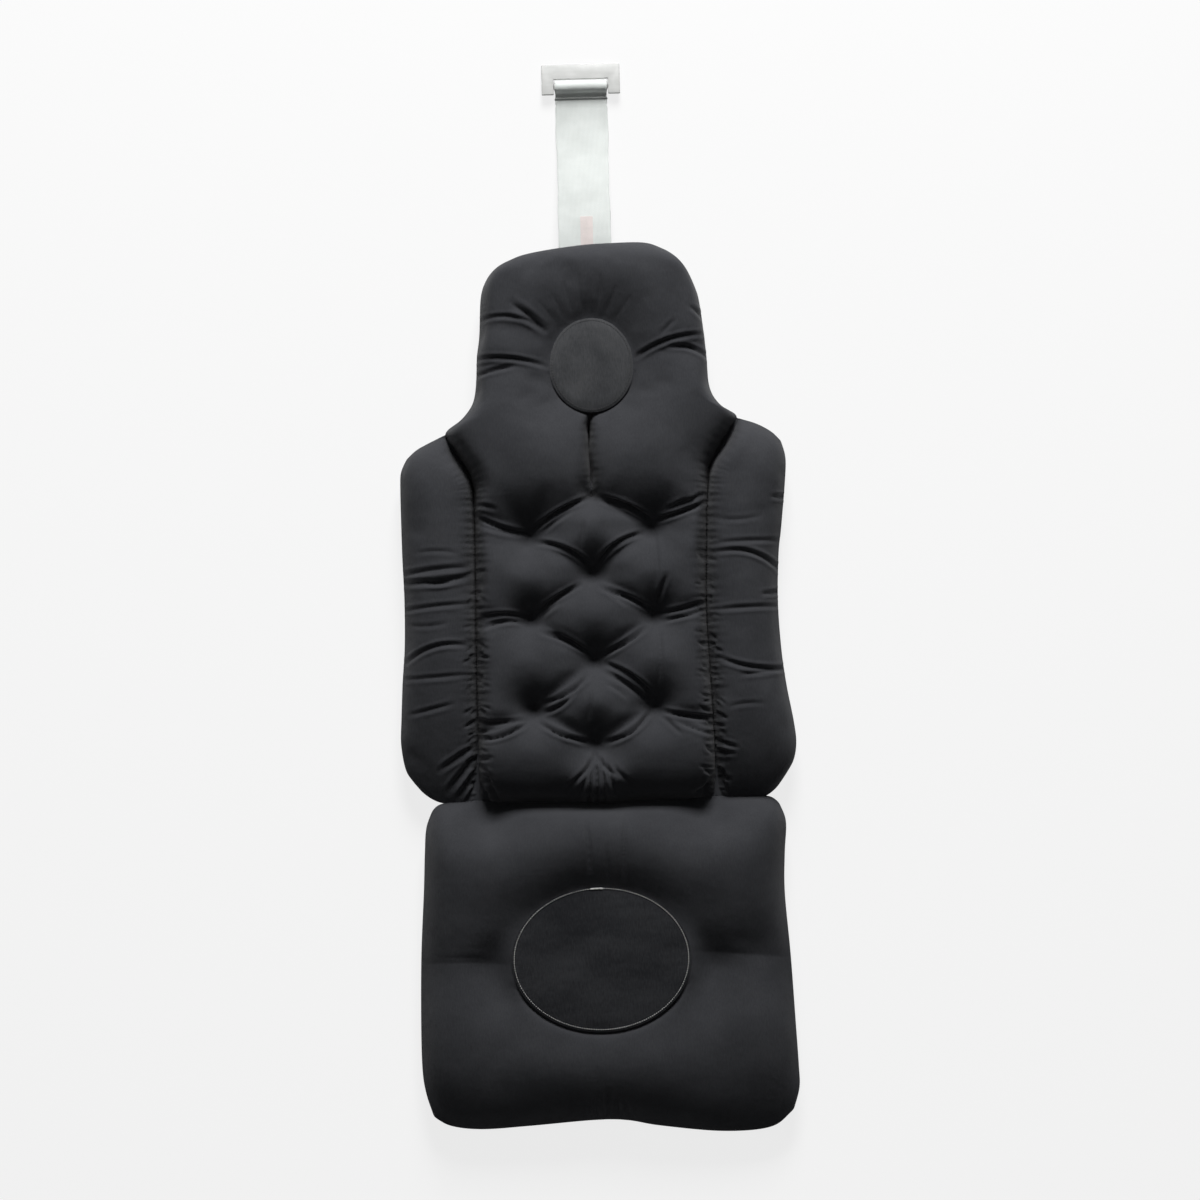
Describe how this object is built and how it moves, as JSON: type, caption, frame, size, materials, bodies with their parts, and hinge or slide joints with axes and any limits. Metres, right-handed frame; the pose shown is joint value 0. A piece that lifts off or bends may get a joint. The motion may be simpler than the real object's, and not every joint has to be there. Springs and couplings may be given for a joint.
{
  "type": "bath pillow",
  "caption": "Padded full-length bath pillow with a tufted head and back panel, side bolsters, a folding seat cushion and a hanging strap with a slotted hook plate.",
  "frame": {"origin": "middle of the overall length and width, on the flat rear faces that the pillow lies on", "axes": "+X to the right seen from the front, +Y towards the head and the strap, +Z out of the padded front"},
  "size_m": [0.38, 1.0242, 0.0749],
  "materials": {
    "black_cloth": "soft brushed polyester with a slight sheen",
    "black_thread": "polyester thread",
    "white_thread": "polyester thread",
    "wadding": "loose polyester fibre",
    "webbing": "woven flat webbing",
    "label_cloth": "thin plain tape",
    "grey_plastic": "moulded, satin"
  },
  "bodies": {
    "back": {"back_front_cover": "black_cloth", "back_rear_cover": "black_cloth", "back_fill": "wadding", "tuft_tie_01": "black_thread", "tuft_tie_02": "black_thread", "tuft_tie_03": "black_thread", "tuft_tie_04": "black_thread", "tuft_tie_05": "black_thread", "tuft_tie_06": "black_thread", "tuft_tie_07": "black_thread", "tuft_tie_08": "black_thread", "tuft_tie_09": "black_thread", "tuft_tie_10": "black_thread", "head_disc": "black_cloth", "head_disc_stitching": "black_thread", "fold_welt": "black_cloth", "left_bolster_welt": "black_cloth", "right_bolster_welt": "black_cloth"},
    "left_bolster": {"left_bolster_front_cover": "black_cloth", "left_bolster_rear_cover": "black_cloth", "left_bolster_fill": "wadding"},
    "right_bolster": {"right_bolster_front_cover": "black_cloth", "right_bolster_rear_cover": "black_cloth", "right_bolster_fill": "wadding"},
    "seat": {"seat_front_cover": "black_cloth", "seat_rear_cover": "black_cloth", "seat_fill": "wadding", "seat_oval": "black_cloth", "seat_oval_stitching": "white_thread"},
    "strap": {"strap_webbing": "webbing", "loop_stitching": "white_thread", "strap_label": "label_cloth"},
    "hook": {"hook_plate": "grey_plastic"}
  },
  "joints": [
    {"name": "seat_fold", "type": "hinge", "parent": "back", "child": "seat", "pos_m": [0, -0.19671, 0.022], "axis": [-1, 0, 0], "range_deg": [-60, 65]},
    {"name": "left_bolster_fold", "type": "hinge", "parent": "back", "child": "left_bolster", "pos_m": [-0.111, 0, 0.022], "axis": [0, 1, 0], "range_deg": [-30, 30]},
    {"name": "right_bolster_fold", "type": "hinge", "parent": "back", "child": "right_bolster", "pos_m": [0.111, 0, 0.022], "axis": [0, -1, 0], "range_deg": [-30, 30]},
    {"name": "strap_fold", "type": "hinge", "parent": "back", "child": "strap", "pos_m": [0, 0.33934, 0.022], "axis": [1, 0, 0], "range_deg": [-90, 90]},
    {"name": "hook_swivel", "type": "hinge", "parent": "strap", "child": "hook", "pos_m": [0, 0.49134, 0.0058], "axis": [1, 0, 0], "range_deg": [-90, 150]}
  ]
}
